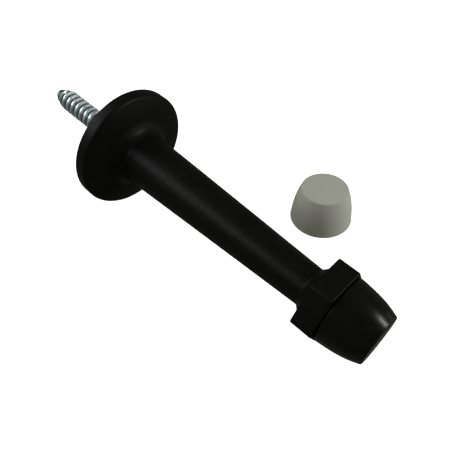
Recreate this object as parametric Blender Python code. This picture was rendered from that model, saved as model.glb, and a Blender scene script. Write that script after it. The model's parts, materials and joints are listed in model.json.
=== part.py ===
"""Rigid wall door stop: a round flange and a tapered post with wrench flats, held to the wall by a
hanger bolt, with a push-on rubber bumper and a loose spare bumper beside it.

It lies as it would on a bench, on its flange's rim and on one flat of the hexagon, with the spare
standing on its wide end. Metres, +Z up, z = 0 is the surface under it, the stop points towards +X,
and the origin is under the middle of the whole set.
Each piece of the stop is turned about its own Z, which is the stop's axis, with z = 0 at the wall.
"""

import math

import bpy

INCH = 0.0254
GAP = 0.0003  # between pieces that touch on the real stop

# Stop as a whole
LENGTH = 3.75 * INCH  # wall to the end of the bumper
FLANGE_RADIUS = 0.75 * INCH

# Flange, a loose rose on the post's foot, clamped between the post and the wall
RIM_THICKNESS = 0.0044
RIM_ROUND = 0.0012
BACK_CHAMFER = 0.0004
HUB_FOOT_RADIUS = 0.0124  # where the gently sloping face turns up into the hub
HUB_FOOT_HEIGHT = 0.0056
HUB_HEIGHT = 0.0100
FOOT_SPIGOT_RADIUS = 0.0055

# Post
FOOT_RECESS = 0.0005  # the foot stops short of the wall, so that the flange is what presses on it
POST_FOOT_RADIUS = 0.0081
POST_NECK_RADIUS = 0.00572  # at the foot of the conical shoulder behind the hexagon
SHOULDER_RADIUS = 0.0081
SHOULDER_COVE = 0.0008
SHOULDER_SLOPE = 45  # degrees from the axis
HEX_THICKNESS = 0.25 * INCH
HEX_ACROSS_FLATS = 0.020
HEX_EDGE_BREAK = 0.0004

# Bumper, and the spare one, which is the same
BUMPER_LENGTH = 0.0122
BUMPER_BASE_RADIUS = 0.0098
BUMPER_TAPER = 0.0012  # radius lost over its length along a straight side
BUMPER_CURL = 0.00145  # further radius lost, nearly all of it towards the door end
BUMPER_CURL_POWER = 3.2
BUMPER_END_ROUND = 0.0006
BUMPER_END_SLOPE = 25  # degrees that the side leans in where the rounding takes over
BUMPER_BASE_ROUND = 0.0005
SOCKET_RADIUS = 0.0047
SOCKET_DEPTH = 0.0090

# Stud that the bumper is pushed on
STUD_THREAD_RADIUS = 0.0020
STUD_THREAD_LENGTH = 0.0100
STUD_COLLAR_LENGTH = 0.0012
STUD_RIB_RADIUS = SOCKET_RADIUS - GAP
STUD_CORE_RADIUS = 0.0038
STUD_RIBS = 3
STUD_RIB_START = 0.35  # part of a rib's pitch that is plain core
STUD_POINT_SHRINK = 0.0008
STUD_CHAMFER = 0.0005
END_CLEARANCE = 0.0006  # between the stud's ends and the holes' ends
STUD_LENGTH = SOCKET_DEPTH - END_CLEARANCE

# Hanger bolt: a coarse wood thread outside, a quarter-inch 20 machine thread in the post
BOLT_RADIUS = 0.125 * INCH
BOLT_REACH = 0.0358  # behind the wall face
BOLT_POINT = 0.0055
BOLT_TIP_RADIUS = 0.0014
WOOD_PITCH = INCH / 11
WOOD_RADIUS = 0.00347
WOOD_ROOT_RADIUS = 0.0027
MACHINE_PITCH = 0.05 * INCH
MACHINE_ROOT_RADIUS = 0.0026
MACHINE_CHAMFER = 0.0008
BOLT_ENGAGEMENT = 0.5 * INCH
BOLT_NECK = 0.0008  # half the plain length between the two threads
BOLT_HOLE_SPARE = 0.0015  # tapped depth beyond the bolt's end
BOLT_END_STEP = 0.0008  # height of the plain cone under the wood thread
BOLT_POINT_POWER = 0.7  # under 1 makes the point a dome
WOOD_PROFILE = [(0, 0), (0.38, 0), (0.60, 1), (0.78, 1)]  # (part of a pitch, part of the depth)
MACHINE_PROFILE = [(0, 0), (0.5, 1)]

# Spare bumper's place, from the middle of the flange's back
SPARE_AHEAD = 0.0546
SPARE_ASIDE = 0.0325

ROUND_STEPS = 48
SMALL_STEPS = 24
ROD_STEPS = 20
ARC_STEPS = 4
SIDE_STEPS = 6

HEX_BACK = LENGTH - BUMPER_LENGTH - GAP - HEX_THICKNESS
HEX_FRONT = HEX_BACK + HEX_THICKNESS
HEX_APOTHEM = HEX_ACROSS_FLATS / 2


def clear_scene():
    for obj in list(bpy.data.objects):
        bpy.data.objects.remove(obj, do_unlink=True)


def finish(name, color, metallic, roughness):
    material = bpy.data.materials.new(name)
    material.use_nodes = True
    shader = material.node_tree.nodes["Principled BSDF"]
    shader.inputs["Base Color"].default_value = (*color, 1.0)
    shader.inputs["Metallic"].default_value = metallic
    shader.inputs["Roughness"].default_value = roughness
    return material


def mesh_object(name, vertices, faces, material, parent, location=(0, 0, 0)):
    mesh = bpy.data.meshes.new(name)
    mesh.from_pydata(vertices, [], faces)
    mesh.validate()
    mesh.materials.append(material)
    mesh.shade_smooth()
    mesh.set_sharp_from_angle(angle=math.radians(32))
    obj = bpy.data.objects.new(name, mesh)
    bpy.context.collection.objects.link(obj)
    obj.parent = parent
    obj.location = location
    return obj


def arc(center, radius, start, end, steps):
    """Points (z, r) on an arc, with the angles in degrees from the outward direction towards +z."""
    angles = [math.radians(start + (end - start) * i / steps) for i in range(steps + 1)]
    return [(center[0] + radius * math.sin(a), center[1] + radius * math.cos(a)) for a in angles]


def quarter_turn(steps):
    return [math.radians(90) * i / steps for i in range(steps + 1)]


def hexagon(angle):
    """Distance to a unit-apothem hexagon's edge, with a flat facing angle 0."""
    sixth = math.radians(60)
    return 1 / math.cos((angle + sixth / 2) % sixth - sixth / 2)


def turned(outline, steps, closed=False, phase=0.0):
    """Surface round the Z axis through the outline's (z, r) points; (z, r, 6) is a hexagonal one.

    The outline runs up the outer side. A point on the axis closes that end.
    """
    vertices, faces, rings = [], [], []
    for z, radius, *sides in outline:
        if radius == 0:
            rings.append([len(vertices)] * steps)
            vertices.append((0, 0, z))
            continue
        rings.append(list(range(len(vertices), len(vertices) + steps)))
        for step in range(steps):
            angle = 2 * math.pi * (step + phase) / steps
            reach = radius * (hexagon(angle) if sides else 1)
            vertices.append((reach * math.cos(angle), reach * math.sin(angle), z))
    pairs = list(zip(rings, rings[1:] + rings[:1]))
    for low, high in pairs if closed else pairs[:-1]:
        for step in range(steps):
            after = (step + 1) % steps
            corners = [low[step], low[after], high[after], high[step]]
            faces.append(list(dict.fromkeys(corners)))
    return vertices, faces


class ThreadedRod:
    """A closed rod round the Z axis, built upwards from its tip out of cones and helical threads."""

    def __init__(self, steps):
        self.steps = steps
        self.vertices, self.faces, self.index = [], [], {}

    def vertex(self, step, row, z, radius):
        key = (step % self.steps, row)
        if key not in self.index:
            angle = 2 * math.pi * step / self.steps
            self.index[key] = len(self.vertices)
            self.vertices.append((radius * math.cos(angle), radius * math.sin(angle), z))
        return self.index[key]

    def face(self, corners):
        corners = list(dict.fromkeys(corners))
        if len(corners) > 2:
            self.faces.append(corners)

    def cone(self, low, high):
        """A plain stretch between two (z, r) rings."""
        for step in range(self.steps):
            ends = [(step, low), (step + 1, low), (step + 1, high), (step, high)]
            self.face([self.vertex(at, ring, *ring) for at, ring in ends])

    def cap(self, ring, facing_up):
        corners = [self.vertex(step, ring, *ring) for step in range(self.steps)]
        self.face(corners if facing_up else corners[::-1])

    def thread(self, low, high, pitch, root, crest, profile, fade):
        """A helical thread between the rings at two heights.

        root and crest give the radii at a height, and profile holds (part of a pitch, part of the depth).
        """
        rows = len(profile)

        def corner(step, row):
            turn, place = divmod(row, rows)
            part, height = profile[place]
            z = low + (turn + part + step / self.steps) * pitch
            if z <= low or z >= high:
                end = low if z <= low else high
                return self.vertex(step, (end, root(end)), end, root(end))
            depth = (crest(z) - root(z)) * height * min(1, (z - low) / fade, (high - z) / fade)
            unwrapped = row + rows * (step // self.steps)
            return self.vertex(step, (low, "thread", unwrapped), z, root(z) + depth)

        last = math.ceil((high - low) / pitch) * rows + 1
        for row in range(-rows, last):
            for step in range(self.steps):
                ends = [(step, row), (step + 1, row), (step + 1, row + 1), (step, row + 1)]
                self.face([corner(*end) for end in ends])


def flange(parent, material):
    """The rose: flat back, rounded rim, a gently sloping face and a cove up to the post."""
    bore = FOOT_SPIGOT_RADIUS + GAP
    rim = (RIM_THICKNESS - RIM_ROUND, FLANGE_RADIUS - RIM_ROUND)
    top = HUB_HEIGHT - GAP
    cove_long = top - HUB_FOOT_HEIGHT
    cove_deep = HUB_FOOT_RADIUS - POST_FOOT_RADIUS
    cove = [
        (top - cove_long * math.cos(turn), HUB_FOOT_RADIUS - cove_deep * math.sin(turn))
        for turn in quarter_turn(2 * ARC_STEPS)
    ]
    outline = [
        (0, bore),
        (0, FLANGE_RADIUS - BACK_CHAMFER),
        (BACK_CHAMFER, FLANGE_RADIUS),
        *arc(rim, RIM_ROUND, 0, 75, ARC_STEPS),
        *cove,
        (top, bore),
    ]
    return mesh_object("flange", *turned(outline, ROUND_STEPS, closed=True, phase=0.5), material, parent)


def post(parent, material):
    """Tapered post with a tapped spigot at its foot, and a shoulder and wrench flats at its head."""
    bore = BOLT_RADIUS + GAP
    hole_end = FOOT_RECESS + BOLT_ENGAGEMENT + BOLT_HOLE_SPARE
    stud_hole = STUD_THREAD_RADIUS + GAP
    stud_hole_end = HEX_FRONT - STUD_THREAD_LENGTH - END_CLEARANCE
    shoulder_foot = HEX_BACK - (SHOULDER_RADIUS - POST_NECK_RADIUS)
    cove_start = shoulder_foot - SHOULDER_COVE * math.tan(math.radians(SHOULDER_SLOPE / 2))
    cove = (cove_start, POST_NECK_RADIUS + SHOULDER_COVE)
    neck = [
        (cove[0] + SHOULDER_COVE * math.sin(turn / 2), cove[1] - SHOULDER_COVE * math.cos(turn / 2))
        for turn in quarter_turn(ARC_STEPS)
    ]
    outline = [
        (hole_end + bore / 2, 0),
        (hole_end, bore),
        (FOOT_RECESS, bore),
        (FOOT_RECESS, FOOT_SPIGOT_RADIUS),
        (HUB_HEIGHT, FOOT_SPIGOT_RADIUS),
        (HUB_HEIGHT, POST_FOOT_RADIUS),
        *neck,
        (HEX_BACK, SHOULDER_RADIUS),
        (HEX_BACK, HEX_APOTHEM - HEX_EDGE_BREAK, 6),
        (HEX_BACK + HEX_EDGE_BREAK, HEX_APOTHEM, 6),
        (HEX_FRONT - HEX_EDGE_BREAK, HEX_APOTHEM, 6),
        (HEX_FRONT, HEX_APOTHEM - HEX_EDGE_BREAK, 6),
        (HEX_FRONT, stud_hole),
        (stud_hole_end, stud_hole),
        (stud_hole_end - stud_hole / 2, 0),
    ]
    return mesh_object("post", *turned(outline, ROUND_STEPS), material, parent)


def tip_stud(parent, material):
    """Ribbed stud screwed into the post's head. The bumper's socket grips its ribs."""
    seat = HEX_FRONT + GAP
    ribbed = STUD_LENGTH - STUD_COLLAR_LENGTH
    pitch = ribbed / STUD_RIBS
    low = HEX_FRONT - STUD_THREAD_LENGTH
    outline = [
        (low, 0),
        (low, STUD_THREAD_RADIUS - STUD_CHAMFER),
        (low + STUD_CHAMFER, STUD_THREAD_RADIUS),
        (seat, STUD_THREAD_RADIUS),
        (seat, STUD_RIB_RADIUS),
        (seat + STUD_COLLAR_LENGTH, STUD_RIB_RADIUS),
    ]
    for rib in range(STUD_RIBS):
        start = seat + STUD_COLLAR_LENGTH + rib * pitch
        rise = start + pitch * STUD_RIB_START
        shrink = STUD_POINT_SHRINK if rib == STUD_RIBS - 1 else 0
        outline += [
            (start, STUD_CORE_RADIUS),
            (rise, STUD_CORE_RADIUS),
            (rise, STUD_RIB_RADIUS),
            (start + pitch, STUD_CORE_RADIUS - shrink),
        ]
    outline = [p for i, p in enumerate(outline) if i == 0 or p != outline[i - 1]]
    outline.append((seat + STUD_LENGTH, 0))
    return mesh_object("tip_stud", *turned(outline, SMALL_STEPS), material, parent)


def bumper(name, parent, material, location):
    """Barrel-sided rubber tip with a blind socket in its wide end, which is at z = 0."""
    def side(z):
        along = z / BUMPER_LENGTH
        return BUMPER_BASE_RADIUS - BUMPER_TAPER * along - BUMPER_CURL * along ** BUMPER_CURL_POWER

    shoulder = BUMPER_LENGTH - BUMPER_END_ROUND
    end_center = (shoulder, side(shoulder) - BUMPER_END_ROUND)
    climb = (shoulder - BUMPER_BASE_ROUND) / SIDE_STEPS
    side_points = [BUMPER_BASE_ROUND + climb * i for i in range(SIDE_STEPS)]
    outline = [
        (SOCKET_DEPTH, 0),
        (SOCKET_DEPTH, SOCKET_RADIUS),
        (BUMPER_BASE_ROUND, SOCKET_RADIUS),
        (0, SOCKET_RADIUS + BUMPER_BASE_ROUND),
        (0, BUMPER_BASE_RADIUS - BUMPER_BASE_ROUND),
        *[(z, side(z)) for z in side_points],
        *arc(end_center, BUMPER_END_ROUND, BUMPER_END_SLOPE, 90, ARC_STEPS),
        (BUMPER_LENGTH, 0),
    ]
    return mesh_object(name, *turned(outline, ROUND_STEPS), material, parent, location)


def hanger_bolt(parent, material):
    """Double-ended screw: wood thread and blunt point behind the flange, machine thread in the post."""
    tip = -BOLT_REACH
    wood_low, wood_high = tip + BOLT_END_STEP, -BOLT_NECK
    machine_low, machine_high = 2 * BOLT_NECK, FOOT_RECESS + BOLT_ENGAGEMENT - MACHINE_CHAMFER

    def point(full_radius):
        """The radius at a height, for a shape that narrows to the blunt tip."""
        def radius(z):
            along = max(0, min(1, (z - tip) / BOLT_POINT))
            return BOLT_TIP_RADIUS + (full_radius - BOLT_TIP_RADIUS) * along ** BOLT_POINT_POWER
        return radius

    wood_root = point(WOOD_ROOT_RADIUS)
    rod = ThreadedRod(ROD_STEPS)
    rod.cap((tip, BOLT_TIP_RADIUS), facing_up=False)
    rod.cone((tip, BOLT_TIP_RADIUS), (wood_low, wood_root(wood_low)))
    rod.thread(wood_low, wood_high, WOOD_PITCH, wood_root, point(WOOD_RADIUS), WOOD_PROFILE, WOOD_PITCH / 2)
    rod.cone((wood_high, WOOD_ROOT_RADIUS), (0, BOLT_RADIUS))
    rod.cone((0, BOLT_RADIUS), (BOLT_NECK, BOLT_RADIUS))
    rod.cone((BOLT_NECK, BOLT_RADIUS), (machine_low, MACHINE_ROOT_RADIUS))
    rod.thread(machine_low, machine_high, MACHINE_PITCH, lambda z: MACHINE_ROOT_RADIUS,
               lambda z: BOLT_RADIUS, MACHINE_PROFILE, MACHINE_PITCH)
    end = (machine_high + MACHINE_CHAMFER, MACHINE_ROOT_RADIUS - MACHINE_CHAMFER)
    rod.cone((machine_high, MACHINE_ROOT_RADIUS), end)
    rod.cap(end, facing_up=True)
    return mesh_object("hanger_bolt", rod.vertices, rod.faces, material, parent)


def lay_down(lying, spare):
    """Tilts the stop until its rim and a flat's front edge are both at z = 0, and sets the spare by it."""
    rim_reach = FLANGE_RADIUS * math.cos(math.pi / ROUND_STEPS)
    rim_edge = RIM_THICKNESS - RIM_ROUND
    hex_edge = HEX_FRONT - HEX_EDGE_BREAK
    tilt = math.atan((rim_reach - HEX_APOTHEM) / (hex_edge - rim_edge))
    lying.rotation_euler = (0, math.radians(90) + tilt, 0)
    lying.location.z = rim_reach * math.cos(tilt) + rim_edge * math.sin(tilt)
    spare.location = (SPARE_AHEAD, SPARE_ASIDE, 0)


def center_over_origin(empties):
    """Moves the whole set along X and Y until its box is centred on the origin."""
    bpy.context.view_layer.update()
    graph = bpy.context.evaluated_depsgraph_get()
    corners = [
        obj.matrix_world @ vertex.co
        for obj in bpy.data.objects if obj.type == "MESH"
        for vertex in obj.evaluated_get(graph).data.vertices
    ]
    for axis in (0, 1):
        values = [corner[axis] for corner in corners]
        for empty in empties:
            empty.location[axis] -= (min(values) + max(values)) / 2
    bpy.context.view_layer.update()


def empty_at_origin(name):
    empty = bpy.data.objects.new(name, None)
    bpy.context.collection.objects.link(empty)
    return empty


def main():
    clear_scene()
    black_metal = finish("black_metal", (0.012, 0.012, 0.012), metallic=0.6, roughness=0.38)
    zinc = finish("zinc_plate", (0.62, 0.66, 0.70), metallic=1.0, roughness=0.28)
    black_rubber = finish("black_rubber", (0.015, 0.015, 0.014), metallic=0.0, roughness=0.45)
    grey_rubber = finish("grey_rubber", (0.48, 0.48, 0.42), metallic=0.0, roughness=0.75)

    lying = empty_at_origin("lying_stop")
    standing = empty_at_origin("standing_spare")
    flange(lying, black_metal)
    post(lying, black_metal)
    tip_stud(lying, zinc)
    hanger_bolt(lying, zinc)
    bumper("bumper", lying, black_rubber, (0, 0, HEX_FRONT + GAP))
    bumper("spare_bumper", standing, grey_rubber, (0, 0, 0))
    lay_down(lying, standing)
    center_over_origin([lying, standing])


main()
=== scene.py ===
"""Looks for the rigid wall door stop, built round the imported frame. Metres, +Z up.

Each piece is a fine mesh turned about its own Z, which is the stop's axis, with z = 0 at the wall face
or, for a bumper, at its wide end. The frame's joints and boxes say where each one goes.
"""

import json
import math

import bpy
from mathutils import Matrix, Vector


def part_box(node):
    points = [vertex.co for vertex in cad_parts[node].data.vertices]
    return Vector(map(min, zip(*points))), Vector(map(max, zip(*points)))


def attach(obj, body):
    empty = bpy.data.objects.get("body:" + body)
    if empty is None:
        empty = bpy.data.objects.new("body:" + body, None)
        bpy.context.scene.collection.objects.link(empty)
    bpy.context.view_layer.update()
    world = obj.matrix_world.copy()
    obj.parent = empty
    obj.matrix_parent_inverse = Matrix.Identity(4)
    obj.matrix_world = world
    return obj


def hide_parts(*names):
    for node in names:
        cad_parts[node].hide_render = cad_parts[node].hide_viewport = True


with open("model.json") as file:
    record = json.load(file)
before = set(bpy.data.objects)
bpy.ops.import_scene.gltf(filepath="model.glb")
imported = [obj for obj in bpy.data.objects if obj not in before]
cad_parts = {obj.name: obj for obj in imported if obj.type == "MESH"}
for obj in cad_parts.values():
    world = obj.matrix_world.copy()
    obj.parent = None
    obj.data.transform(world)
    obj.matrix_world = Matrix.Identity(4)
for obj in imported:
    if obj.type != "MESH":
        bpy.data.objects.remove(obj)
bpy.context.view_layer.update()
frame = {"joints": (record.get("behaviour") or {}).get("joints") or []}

INCH = 0.0254
SEAM = 0.00003  # hairline between the flange's hub and the post
GROOVE = 0.0003  # between the hexagon and the bumper

# Flange
FLANGE_RADIUS = 0.75 * INCH
RIM_THICKNESS = 0.0044
RIM_ROUND = 0.0012
RIM_END_SLOPE = 75  # degrees that the rim's front edge is rounded through before the dish
BACK_ROUND = 0.0004
HUB_FOOT_RADIUS = 0.0124
HUB_FOOT_HEIGHT = 0.0056
HUB_HEIGHT = 0.0100
SPIGOT_RADIUS = 0.0055
SPIGOT_CLEARANCE = 0.0002

# Post
LENGTH = 3.75 * INCH  # wall to the end of the bumper
FOOT_RECESS = 0.0005
POST_FOOT_RADIUS = 0.0081
POST_NECK_RADIUS = 0.00572
SHOULDER_RADIUS = 0.0081
SHOULDER_COVE = 0.0008
SHOULDER_SLOPE = 45  # degrees from the axis
HEX_THICKNESS = 0.25 * INCH
HEX_APOTHEM = 0.010
HEX_CORNER_ROUND = 0.0011
HEX_EDGE_ROUND = 0.0003
BOLT_HOLE_RADIUS = 0.00325
BOLT_HOLE_DEPTH = 0.0147
STUD_HOLE_RADIUS = 0.0023
STUD_HOLE_DEPTH = 0.0106
DRILL_CONE = 0.0016

# Bumpers
BUMPER_LENGTH = 0.0122
BUMPER_BASE_RADIUS = 0.0098
BUMPER_TAPER = 0.0012  # radius lost over its length along a straight side
BUMPER_CURL = 0.00145  # further radius lost, nearly all of it towards the door end
BUMPER_CURL_POWER = 3.2
BUMPER_END_ROUND = 0.0006
BUMPER_END_SLOPE = 25  # degrees that the side leans in where the rounding takes over
BUMPER_BASE_ROUND = 0.0003
SOCKET_RADIUS = 0.0047
SOCKET_DEPTH = 0.0090
SOCKET_ROUND = 0.0004

# Stud
STUD_THREAD_RADIUS = 0.0020
STUD_THREAD_LENGTH = 0.0100
STUD_THREAD_CHAMFER = 0.0005
STUD_COLLAR_LENGTH = 0.0012
STUD_RIB_RADIUS = 0.0044
STUD_CORE_RADIUS = 0.0038
STUD_LENGTH = 0.0084
STUD_RIBS = 3
STUD_RIB_START = 0.35  # part of a rib's pitch that is plain core
STUD_RIB_ROUND = 0.00012
STUD_RIB_LEAN = 30  # degrees past its crest at which a rib's rounding gives way to its slope
STUD_EDGE_STEPS = 4
STUD_RIB_STEPS = 5

# Hanger bolt
BOLT_RADIUS = 0.125 * INCH
BOLT_REACH = 0.0358
BOLT_POINT = 0.0055
BOLT_POINT_POWER = 0.7
BOLT_TIP_RADIUS = 0.0014
BOLT_DOME = 0.0008
BOLT_NECK = 0.0008
BOLT_ENGAGEMENT = 0.5 * INCH
BOLT_CHAMFER = 0.0008
WOOD_PITCH = INCH / 11
WOOD_RADIUS = 0.00347
WOOD_ROOT_RADIUS = 0.0027
MACHINE_PITCH = 0.05 * INCH
MACHINE_ROOT_RADIUS = 0.0026
THREAD_SHADE_FLOOR = 0.0002  # how far under the wood thread's root the measure for the painted shade in the grooves starts
THREAD_SHADE_SPAN = 0.001

# Thread forms: parts of a pitch at which the rise starts, the crest starts and the fall starts
WOOD_FORM = (0.30, 0.58, 0.80)
WOOD_FORM_ROWS = 16
MACHINE_FORM = (0.05, 0.48, 0.58)
MACHINE_FORM_ROWS = 10

HEX_BACK = LENGTH - BUMPER_LENGTH - GROOVE - HEX_THICKNESS
HEX_FRONT = HEX_BACK + HEX_THICKNESS

TURN_STEPS = 160
ROD_STEPS = 72
ARC_STEPS = 10
CURVE_STEPS = 3 * ARC_STEPS
DOME_STEPS = 8
FLAT_STEPS = 14
CORNER_FINE_STEPS = 5  # on each side of a hexagon's corner
CORNER_FINE_ANGLE = 3  # degrees that they cover
CORNER_ANGLE = 4.5  # degrees from the corner to where a flat's own steps begin
SHARP_ANGLE = 50

# Camera, from its own place to the point on the floor that it looks at
CAMERA_PLACE = (0.08312, -0.08119, 0.11513)
CAMERA_TARGET = (0.00572, -0.00312, 0)
CAMERA_ROLL = -1.582
CAMERA_LENS = 39.50
CAMERA_CLIP = 0.01

FLOOR_REACH = 3.0  # from the middle of the floor to each edge
ROOM_COLOR = (1.0, 1.0, 0.88, 1)  # faint, slightly yellow light from all round
ROOM_STRENGTH = 0.09
WHITE = (1, 1, 1, 1)


# ---------------------------------------------------------------- outlines and meshes

def arc(center, radius, start, end, steps=ARC_STEPS):
    """Points (z, r) on an arc, with the angles in degrees from the outward direction towards +z."""
    angles = [math.radians(start + (end - start) * i / steps) for i in range(steps + 1)]
    return [(center[0] + radius * math.sin(a), center[1] + radius * math.cos(a)) for a in angles]


def even_angles(steps):
    return [2 * math.pi * step / steps for step in range(steps)]


def hexagon_angles():
    """Angles round the axis that crowd together at the hexagon's corners."""
    step = CORNER_FINE_ANGLE / CORNER_FINE_STEPS
    fine = [step * i for i in range(-CORNER_FINE_STEPS, CORNER_FINE_STEPS + 1)]
    across = 60 - 2 * CORNER_ANGLE
    flat = [CORNER_ANGLE + across * i / FLAT_STEPS for i in range(1, FLAT_STEPS)]
    sixth = [30 + angle for angle in [-CORNER_ANGLE, *fine, CORNER_ANGLE, *flat]]
    return [math.radians(60 * side + angle) for side in range(6) for angle in sixth]


def hexagon(angle, apothem, corner_round):
    """Distance from the axis to a round-cornered hexagon that has a flat facing angle 0."""
    half = math.radians(30)
    off_flat = (angle + half) % (2 * half) - half
    off_corner = half - abs(off_flat)
    center = (apothem - corner_round) / math.cos(half)
    tangent = math.atan2(corner_round * math.sin(half), center + corner_round * math.cos(half))
    if off_corner >= tangent:
        return apothem / math.cos(off_flat)
    chord = corner_round ** 2 - (center * math.sin(off_corner)) ** 2
    return center * math.cos(off_corner) + math.sqrt(max(0, chord))


def turned(outline, angles, closed=False):
    """Surface round the Z axis through the outline's (z, r) points, which run up the outer side.

    (z, r, corner) is a hexagonal ring with that corner rounding, and r = 0 closes an end.
    """
    vertices, faces, rings = [], [], []
    steps = len(angles)
    for z, radius, *corner in outline:
        if radius == 0:
            rings.append([len(vertices)] * steps)
            vertices.append((0, 0, z))
            continue
        rings.append(list(range(len(vertices), len(vertices) + steps)))
        for angle in angles:
            reach = hexagon(angle, radius, corner[0]) if corner else radius
            vertices.append((reach * math.cos(angle), reach * math.sin(angle), z))
    pairs = list(zip(rings, rings[1:] + rings[:1]))
    for low, high in pairs if closed else pairs[:-1]:
        for step in range(steps):
            after = (step + 1) % steps
            corners = [low[step], low[after], high[after], high[step]]
            faces.append(list(dict.fromkeys(corners)))
    return vertices, faces


class ThreadedRod:
    """A closed rod round the Z axis, built upwards from its tip out of rings and helical threads."""

    def __init__(self, steps):
        self.steps = steps
        self.vertices, self.faces, self.index = [], [], {}

    def vertex(self, step, row, z, radius):
        key = (step % self.steps, row)
        if key not in self.index:
            angle = 2 * math.pi * step / self.steps
            self.index[key] = len(self.vertices)
            self.vertices.append((radius * math.cos(angle), radius * math.sin(angle), z))
        return self.index[key]

    def face(self, corners):
        corners = list(dict.fromkeys(corners))
        if len(corners) > 2:
            self.faces.append(corners)

    def plain(self, outline):
        """Plain stretches between (z, r) rings, upwards."""
        for low, high in zip(outline, outline[1:]):
            for step in range(self.steps):
                ends = [(step, low), (step + 1, low), (step + 1, high), (step, high)]
                self.face([self.vertex(at, ring, *ring) for at, ring in ends])

    def cap(self, ring, facing_up):
        corners = [self.vertex(step, ring, *ring) for step in range(self.steps)]
        self.face(corners if facing_up else corners[::-1])

    def thread(self, low, high, pitch, root, crest, profile, fade):
        """A helical thread between the rings at two heights.

        root and crest give the radii at a height, and profile holds (part of a pitch, part of the depth).
        """
        rows = len(profile)

        def corner(step, row):
            turn, place = divmod(row, rows)
            part, height = profile[place]
            z = low + (turn + part + step / self.steps) * pitch
            if z <= low or z >= high:
                end = low if z <= low else high
                return self.vertex(step, (end, root(end)), end, root(end))
            depth = (crest(z) - root(z)) * height * min(1, (z - low) / fade, (high - z) / fade)
            unwrapped = row + rows * (step // self.steps)
            return self.vertex(step, (low, "thread", unwrapped), z, root(z) + depth)

        last = math.ceil((high - low) / pitch) * rows + 1
        for row in range(-rows, last):
            for step in range(self.steps):
                ends = [(step, row), (step + 1, row), (step + 1, row + 1), (step, row + 1)]
                self.face([corner(*end) for end in ends])


def smooth(part):
    part = max(0, min(1, part))
    return part * part * (3 - 2 * part)


def thread_profile(rows, rise, crest, fall):
    """Rows of (part of a pitch, part of the depth) for a rounded thread form with those three corners."""
    return [
        (row / rows, smooth((row / rows - rise) / (crest - rise)) * smooth((1 - row / rows) / (1 - fall)))
        for row in range(rows)
    ]


# ---------------------------------------------------------------- the pieces' meshes

def flange_mesh():
    bore = SPIGOT_RADIUS + SPIGOT_CLEARANCE
    top = HUB_HEIGHT - SEAM
    rim = (RIM_THICKNESS - RIM_ROUND, FLANGE_RADIUS - RIM_ROUND)
    back = (BACK_ROUND, FLANGE_RADIUS - BACK_ROUND)
    turns = [math.radians(90) * i / CURVE_STEPS for i in range(CURVE_STEPS + 1)]
    cove = [
        (top - (top - HUB_FOOT_HEIGHT) * math.cos(turn),
         HUB_FOOT_RADIUS - (HUB_FOOT_RADIUS - POST_FOOT_RADIUS) * math.sin(turn))
        for turn in turns
    ]
    outline = [
        (0, bore),
        *arc(back, BACK_ROUND, -90, 0),
        *arc(rim, RIM_ROUND, 0, RIM_END_SLOPE),
        *cove,
        (top, bore),
    ]
    return turned(outline, even_angles(TURN_STEPS), closed=True)


def post_mesh():
    shoulder_foot = HEX_BACK - (SHOULDER_RADIUS - POST_NECK_RADIUS)
    cove_start = shoulder_foot - SHOULDER_COVE * math.tan(math.radians(SHOULDER_SLOPE / 2))
    cove = (cove_start, POST_NECK_RADIUS + SHOULDER_COVE)
    turns = [math.radians(SHOULDER_SLOPE) * i / ARC_STEPS for i in range(ARC_STEPS + 1)]
    neck = [(cove[0] + SHOULDER_COVE * math.sin(t), cove[1] - SHOULDER_COVE * math.cos(t)) for t in turns]
    back_edge = (HEX_BACK + HEX_EDGE_ROUND, HEX_APOTHEM - HEX_EDGE_ROUND)
    front_edge = (HEX_FRONT - HEX_EDGE_ROUND, HEX_APOTHEM - HEX_EDGE_ROUND)
    edges = arc(back_edge, HEX_EDGE_ROUND, -90, 0) + arc(front_edge, HEX_EDGE_ROUND, 0, 90)
    outline = [
        (BOLT_HOLE_DEPTH + DRILL_CONE, 0),
        (BOLT_HOLE_DEPTH, BOLT_HOLE_RADIUS),
        (FOOT_RECESS, BOLT_HOLE_RADIUS),
        (FOOT_RECESS, SPIGOT_RADIUS),
        (HUB_HEIGHT, SPIGOT_RADIUS),
        (HUB_HEIGHT, POST_FOOT_RADIUS),
        *neck,
        (HEX_BACK, SHOULDER_RADIUS),
        *[(z, r, HEX_CORNER_ROUND - (HEX_APOTHEM - r)) for z, r in edges],
        (HEX_FRONT, STUD_HOLE_RADIUS),
        (HEX_FRONT - STUD_HOLE_DEPTH, STUD_HOLE_RADIUS),
        (HEX_FRONT - STUD_HOLE_DEPTH - DRILL_CONE, 0),
    ]
    return turned(outline, hexagon_angles())


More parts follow.
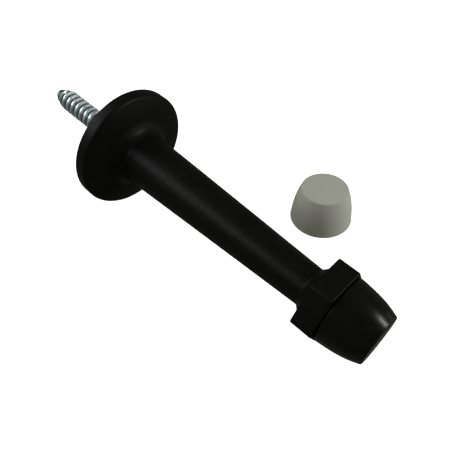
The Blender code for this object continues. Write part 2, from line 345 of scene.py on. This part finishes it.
def stud_mesh():
    def rounded(z, start, end, steps):
        """The rounding of a rib's edge, with its centre at that height."""
        return arc((z, STUD_RIB_RADIUS - STUD_RIB_ROUND), STUD_RIB_ROUND, start, end, steps)

    low, seat = HEX_FRONT - STUD_THREAD_LENGTH, HEX_FRONT + GROOVE
    ribs_start = seat + STUD_COLLAR_LENGTH
    pitch = (STUD_LENGTH - STUD_COLLAR_LENGTH) / STUD_RIBS
    outline = [
        (low, 0),
        (low, STUD_THREAD_RADIUS - STUD_THREAD_CHAMFER),
        (low + STUD_THREAD_CHAMFER, STUD_THREAD_RADIUS),
        (seat, STUD_THREAD_RADIUS),
        *rounded(seat + STUD_RIB_ROUND, -90, 0, STUD_EDGE_STEPS),
        *rounded(ribs_start - STUD_RIB_ROUND, 0, 90, STUD_EDGE_STEPS),
        (ribs_start, STUD_CORE_RADIUS),
    ]
    for rib in range(STUD_RIBS):
        rise = ribs_start + pitch * (rib + STUD_RIB_START)
        outline += [
            (rise, STUD_CORE_RADIUS),
            *rounded(rise + STUD_RIB_ROUND, -90, STUD_RIB_LEAN, STUD_RIB_STEPS),
            (ribs_start + pitch * (rib + 1), STUD_CORE_RADIUS),
        ]
    outline[-1] = (seat + STUD_LENGTH, STUD_CORE_RADIUS - STUD_THREAD_CHAMFER)
    return turned([*outline, (seat + STUD_LENGTH, 0)], even_angles(TURN_STEPS // 2))


def bumper_mesh():
    def side(z):
        along = z / BUMPER_LENGTH
        return BUMPER_BASE_RADIUS - BUMPER_TAPER * along - BUMPER_CURL * along ** BUMPER_CURL_POWER

    shoulder = BUMPER_LENGTH - BUMPER_END_ROUND
    end_center = (shoulder, side(shoulder) - BUMPER_END_ROUND)
    base_center = (BUMPER_BASE_ROUND, side(BUMPER_BASE_ROUND) - BUMPER_BASE_ROUND)
    mouth_center = (SOCKET_ROUND, SOCKET_RADIUS + SOCKET_ROUND)
    climb = (shoulder - BUMPER_BASE_ROUND) / CURVE_STEPS
    outline = [
        (SOCKET_DEPTH, 0),
        (SOCKET_DEPTH, SOCKET_RADIUS - SOCKET_ROUND),
        (SOCKET_DEPTH - SOCKET_ROUND, SOCKET_RADIUS),
        *arc(mouth_center, SOCKET_ROUND, -180, -90),
        *arc(base_center, BUMPER_BASE_ROUND, -90, 0),
        *[(z, side(z)) for z in (BUMPER_BASE_ROUND + climb * i for i in range(1, CURVE_STEPS))],
        *arc(end_center, BUMPER_END_ROUND, BUMPER_END_SLOPE, 90),
        (BUMPER_LENGTH, 0),
    ]
    return turned(outline, even_angles(TURN_STEPS))


def bolt_mesh():
    tip, neck = -BOLT_REACH, -BOLT_NECK
    wood_low = tip + BOLT_DOME
    machine_low = 2 * BOLT_NECK
    machine_high = FOOT_RECESS + BOLT_ENGAGEMENT - BOLT_CHAMFER

    def pointed(full_radius):
        """The radius at a height, for a shape that narrows to the blunt tip."""
        def radius(z):
            along = max(0, min(1, (z - tip) / BOLT_POINT))
            return BOLT_TIP_RADIUS + (full_radius - BOLT_TIP_RADIUS) * along ** BOLT_POINT_POWER
        return radius

    root = pointed(WOOD_ROOT_RADIUS)
    turns = [math.radians(90) * i / DOME_STEPS for i in range(1, DOME_STEPS)]
    dome = [(wood_low - BOLT_DOME * math.cos(turn), root(wood_low) * math.sin(turn)) for turn in turns]
    end = (machine_high + BOLT_CHAMFER, MACHINE_ROOT_RADIUS - BOLT_CHAMFER)
    rod = ThreadedRod(ROD_STEPS)
    rod.cap(dome[0], facing_up=False)
    rod.plain([*dome, (wood_low, root(wood_low))])
    wood = thread_profile(WOOD_FORM_ROWS, *WOOD_FORM)
    rod.thread(wood_low, neck, WOOD_PITCH, root, pointed(WOOD_RADIUS), wood, WOOD_PITCH / 2)
    rod.plain([(neck, WOOD_ROOT_RADIUS), (0, BOLT_RADIUS), (BOLT_NECK, BOLT_RADIUS),
               (machine_low, MACHINE_ROOT_RADIUS)])
    machine = thread_profile(MACHINE_FORM_ROWS, *MACHINE_FORM)
    rod.thread(machine_low, machine_high, MACHINE_PITCH, lambda z: MACHINE_ROOT_RADIUS,
               lambda z: BOLT_RADIUS, machine, MACHINE_PITCH)
    rod.plain([(machine_high, MACHINE_ROOT_RADIUS), end])
    rod.cap(end, facing_up=True)
    return rod.vertices, rod.faces


# ---------------------------------------------------------------- materials

class Finish:
    """A Principled material with short calls for the noise, ramp and bump nodes that it needs."""

    def __init__(self, name, metallic=0.0, specular=0.5):
        self.material = bpy.data.materials.new(name)
        self.material.use_nodes = True
        self.nodes = self.material.node_tree.nodes
        self.links = self.material.node_tree.links
        self.shader = self.nodes["Principled BSDF"]
        self.shader.inputs["Metallic"].default_value = metallic
        self.shader.inputs["Specular IOR Level"].default_value = specular
        self.coordinates = self.nodes.new("ShaderNodeTexCoord").outputs["Object"]
        self.normal = None

    def noise(self, size, detail=3.0, roughness=0.55, stretch=(1, 1, 1)):
        """Noise with features of that size in metres, stretched along the piece's own axes."""
        mapping = self.nodes.new("ShaderNodeMapping")
        mapping.inputs["Scale"].default_value = [1 / (size * part) for part in stretch]
        self.links.new(self.coordinates, mapping.inputs["Vector"])
        texture = self.nodes.new("ShaderNodeTexNoise")
        texture.inputs["Scale"].default_value = 1.0
        texture.inputs["Detail"].default_value = detail
        texture.inputs["Roughness"].default_value = roughness
        self.links.new(mapping.outputs["Vector"], texture.inputs["Vector"])
        return texture.outputs["Fac"]

    def ramp(self, value, *stops):
        """A value or a colour that runs between (place, value or colour) stops."""
        node = self.nodes.new("ShaderNodeValToRGB")
        elements = node.color_ramp.elements
        while len(elements) < len(stops):
            elements.new(0.5)
        for element, (place, color) in zip(elements, stops):
            element.position = place
            element.color = (*color, 1) if isinstance(color, tuple) else (color, color, color, 1)
        self.links.new(value, node.inputs["Fac"])
        return node.outputs["Color"]

    def math(self, operation, *values, clamp=False):
        node = self.nodes.new("ShaderNodeMath")
        node.operation = operation
        node.use_clamp = clamp
        for socket, value in zip(node.inputs, values):
            if isinstance(value, float):
                socket.default_value = value
            else:
                self.links.new(value, socket)
        return node.outputs["Value"]

    def thread_depth(self):
        """Height in metres over the root of the bolt's wood thread, which narrows towards the tip."""
        split = self.nodes.new("ShaderNodeSeparateXYZ")
        self.links.new(self.coordinates, split.inputs["Vector"])
        x, y, z = split.outputs
        radius = self.math("SQRT", self.math("ADD", self.math("MULTIPLY", x, x), self.math("MULTIPLY", y, y)))
        along = self.math("DIVIDE", self.math("ADD", z, BOLT_REACH), BOLT_POINT, clamp=True)
        fullness = self.math("POWER", along, BOLT_POINT_POWER)
        root = self.math("MULTIPLY_ADD", fullness, WOOD_ROOT_RADIUS - BOLT_TIP_RADIUS, BOLT_TIP_RADIUS)
        return self.math("SUBTRACT", radius, root)

    def mix(self, factor, first, second):
        node = self.nodes.new("ShaderNodeMix")
        node.data_type = "RGBA"
        amount = next(s for s in node.inputs if s.enabled and s.type == "VALUE")
        colors = [s for s in node.inputs if s.type == "RGBA"]
        for value, socket in ((factor, amount), (first, colors[0]), (second, colors[1])):
            self.links.new(value, socket)
        return next(s for s in node.outputs if s.type == "RGBA")

    def bump(self, height, depth):
        """Raises the surface by up to that depth in metres, on top of any earlier bump."""
        node = self.nodes.new("ShaderNodeBump")
        node.inputs["Strength"].default_value = 1.0
        node.inputs["Distance"].default_value = depth
        self.links.new(height, node.inputs["Height"])
        if self.normal:
            self.links.new(self.normal, node.inputs["Normal"])
        self.normal = node.outputs["Normal"]
        self.links.new(self.normal, self.shader.inputs["Normal"])

    def color(self, value):
        self.links.new(value, self.shader.inputs["Base Color"])

    def roughness(self, value):
        self.links.new(value, self.shader.inputs["Roughness"])


def black_metal():
    """Satin black coat: faint mottling, orange peel and a fine tooth, a shade browner where it is thin."""
    finish = Finish("black_metal", specular=0.14)
    mottle = finish.noise(0.006, detail=4)
    finish.color(finish.ramp(mottle, (0.3, (0.0024, 0.0026, 0.0025)), (0.7, (0.0044, 0.0044, 0.0040))))
    finish.roughness(finish.ramp(finish.noise(0.0012, detail=5), (0.3, 0.36), (0.7, 0.50)))
    finish.bump(finish.noise(0.0016, detail=2), 0.000012)
    finish.bump(finish.noise(0.0007, detail=4, roughness=0.7), 0.000014)
    return finish.material


def zinc_plate():
    """Bright plate with a bluish and yellowish cast in patches, and painted shade: a darker colour laid into
    the grooves of the wood thread.
    """
    finish = Finish("zinc_plate", metallic=0.8)
    patches = finish.noise(0.0022, detail=3)
    bright = finish.ramp(patches, (0.3, (0.74, 0.84, 0.86)), (0.52, (0.87, 0.96, 0.97)),
                         (0.75, (0.86, 0.93, 0.86)))
    # Painted shade: the darker colour below goes into the thread grooves by their depth, where shade falls,
    # and the crests keep the bright plate colour.
    painted_groove_shade = finish.ramp(patches, (0.3, (0.06, 0.09, 0.105)), (0.75, (0.12, 0.155, 0.155)))
    height = finish.math("ADD", finish.thread_depth(), THREAD_SHADE_FLOOR)
    place = finish.math("DIVIDE", height, THREAD_SHADE_SPAN)
    outside_painted_shade = finish.ramp(place, (0.05, 1.0), (0.17, 0.0), (0.28, 0.0), (0.60, 1.0))
    finish.color(finish.mix(outside_painted_shade, painted_groove_shade, bright))
    finish.roughness(finish.ramp(finish.noise(0.0007, detail=5), (0.3, 0.24), (0.7, 0.42)))
    finish.bump(finish.noise(0.0006, detail=4, stretch=(1, 1, 0.35)), 0.000014)
    return finish.material


def black_rubber():
    """Moulded black rubber, smoother and a little glossier than the coat on the metal."""
    finish = Finish("black_rubber", specular=0.20)
    bloom = finish.noise(0.0035, detail=4)
    finish.color(finish.ramp(bloom, (0.3, (0.0028, 0.0028, 0.0026)), (0.75, (0.0052, 0.0051, 0.0046))))
    finish.roughness(finish.ramp(finish.noise(0.0009, detail=5), (0.3, 0.23), (0.7, 0.30)))
    finish.bump(finish.noise(0.0004, detail=3), 0.000004)
    return finish.material


def grey_rubber():
    """Matt warm grey rubber with a fine speckle of filler."""
    finish = Finish("grey_rubber", specular=0.25)
    speckle = finish.noise(0.0005, detail=5, roughness=0.7)
    clouds = finish.noise(0.004, detail=3)
    light = finish.ramp(speckle, (0.3, (0.43, 0.435, 0.37)), (0.7, (0.485, 0.49, 0.42)))
    dark = finish.ramp(speckle, (0.3, (0.40, 0.405, 0.345)), (0.7, (0.455, 0.46, 0.395)))
    finish.color(finish.mix(clouds, dark, light))
    finish.roughness(finish.ramp(clouds, (0.3, 0.68), (0.7, 0.80)))
    finish.bump(speckle, 0.000012)
    return finish.material


# ---------------------------------------------------------------- the pieces in place

def stop_place(frame):
    """Matrix from a piece's own axes to the lying stop, from the joint on the stop's axis at the wall."""
    turn = next(joint for joint in frame["joints"] if joint["name"] == "unscrew_turn")
    out = -Vector(turn["axis"]).normalized()
    side = Vector((0, 1, 0))
    down = side.cross(out)
    axes = Matrix((down, side, out)).transposed()
    return Matrix.Translation(turn["pos_m"]) @ axes.to_4x4()


def spare_place():
    low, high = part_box("spare_bumper")
    return Matrix.Translation(((low.x + high.x) / 2, (low.y + high.y) / 2, low.z))


def piece(name, mesh_data, place, material, body, node):
    mesh = bpy.data.meshes.new(name)
    mesh.from_pydata(mesh_data[0], [], mesh_data[1])
    mesh.validate()
    mesh.materials.append(material)
    mesh.shade_smooth()
    mesh.set_sharp_from_angle(angle=math.radians(SHARP_ANGLE))
    obj = bpy.data.objects.new(name, mesh)
    bpy.context.scene.collection.objects.link(obj)
    obj.matrix_world = place
    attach(obj, body)
    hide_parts(node)
    return obj


def build_pieces(frame):
    lying = stop_place(frame)
    seated = lying @ Matrix.Translation((0, 0, HEX_FRONT + GROOVE))
    metal, zinc = black_metal(), zinc_plate()
    piece("wall_flange", flange_mesh(), lying, metal, "flange", "flange")
    piece("tapered_post", post_mesh(), lying, metal, "stop", "post")
    piece("ribbed_stud", stud_mesh(), lying, zinc, "stop", "tip_stud")
    piece("bolt", bolt_mesh(), lying, zinc, "hanger_bolt", "hanger_bolt")
    piece("rubber_tip", bumper_mesh(), seated, black_rubber(), "bumper", "bumper")
    piece("spare_tip", bumper_mesh(), spare_place(), grey_rubber(), "spare_bumper", "spare_bumper")


# ---------------------------------------------------------------- floor, light and camera

def white_floor():
    """A pale floor that is lit to plain white, and that throws no light back up at the object."""
    mesh = bpy.data.meshes.new("floor")
    corners = [(x * FLOOR_REACH, y * FLOOR_REACH, 0) for x, y in ((-1, -1), (1, -1), (1, 1), (-1, 1))]
    mesh.from_pydata(corners, [], [(0, 1, 2, 3)])
    finish = Finish("floor", specular=0.0)
    finish.color(finish.ramp(finish.noise(0.5), (0.3, 0.90), (0.7, 0.93)))
    finish.shader.inputs["Emission Color"].default_value = WHITE
    finish.shader.inputs["Emission Strength"].default_value = 1.0
    mesh.materials.append(finish.material)
    floor = bpy.data.objects.new("floor", mesh)
    bpy.context.scene.collection.objects.link(floor)
    floor.visible_diffuse = False
    floor.visible_glossy = False
    floor.visible_shadow = False


def softbox(name, azimuth, elevation, distance, width, height, watts, mirrored=True):
    """A rectangular light that faces the object, with the angles in degrees and azimuth 0 towards +X.

    One that isn't mirrored brightens matt surfaces and leaves no highlight on the glossy ones.
    """
    out = Vector((
        math.cos(math.radians(elevation)) * math.cos(math.radians(azimuth)),
        math.cos(math.radians(elevation)) * math.sin(math.radians(azimuth)),
        math.sin(math.radians(elevation)),
    ))
    light = bpy.data.lights.new(name, "AREA")
    light.shape = "RECTANGLE"
    light.size, light.size_y = width, height
    light.energy = watts
    lamp = bpy.data.objects.new(name, light)
    bpy.context.scene.collection.objects.link(lamp)
    lamp.location = out * distance
    lamp.rotation_euler = out.to_track_quat("Z", "Y").to_euler()
    lamp.visible_glossy = mirrored


def studio_light():
    world = bpy.data.worlds.new("studio")
    bpy.context.scene.world = world
    world.use_nodes = True
    nodes, links = world.node_tree.nodes, world.node_tree.links
    room, white = nodes["Background"], nodes.new("ShaderNodeBackground")
    room.inputs["Color"].default_value = ROOM_COLOR
    room.inputs["Strength"].default_value = ROOM_STRENGTH
    white.inputs["Color"].default_value = WHITE
    mix, path = nodes.new("ShaderNodeMixShader"), nodes.new("ShaderNodeLightPath")
    links.new(path.outputs["Is Camera Ray"], mix.inputs["Fac"])
    links.new(room.outputs["Background"], mix.inputs[1])
    links.new(white.outputs["Background"], mix.inputs[2])
    links.new(mix.outputs["Shader"], nodes["World Output"].inputs["Surface"])
    softbox("left", azimuth=-120, elevation=43, distance=0.7, width=0.42, height=0.24, watts=0.9)
    softbox("back_left", azimuth=-160, elevation=38, distance=0.7, width=0.40, height=0.22, watts=0.85)
    softbox("key", azimuth=38, elevation=37, distance=0.74, width=0.13, height=0.13, watts=1.35)
    softbox("side", azimuth=38, elevation=0, distance=0.8, width=0.9, height=0.5, watts=0.8)
    softbox("left_fill", azimuth=-130, elevation=20, distance=0.8, width=0.5, height=0.5, watts=2.7,
            mirrored=False)
    softbox("right_fill", azimuth=30, elevation=14, distance=0.8, width=0.5, height=0.5, watts=2.3,
            mirrored=False)
    softbox("top_fill", azimuth=60, elevation=84, distance=0.8, width=0.6, height=0.6, watts=0.35,
            mirrored=False)


def camera():
    data = bpy.data.cameras.new("camera")
    data.lens = CAMERA_LENS
    data.clip_start = CAMERA_CLIP
    obj = bpy.data.objects.new("camera", data)
    bpy.context.scene.collection.objects.link(obj)
    back = Vector(CAMERA_PLACE) - Vector(CAMERA_TARGET)
    roll = Matrix.Rotation(math.radians(CAMERA_ROLL), 4, "Z")
    aim = back.to_track_quat("Z", "Y").to_matrix().to_4x4()
    obj.matrix_world = Matrix.Translation(CAMERA_PLACE) @ aim @ roll
    bpy.context.scene.camera = obj


build_pieces(frame)
white_floor()
studio_light()
camera()
bpy.context.scene.view_settings.view_transform = "Standard"
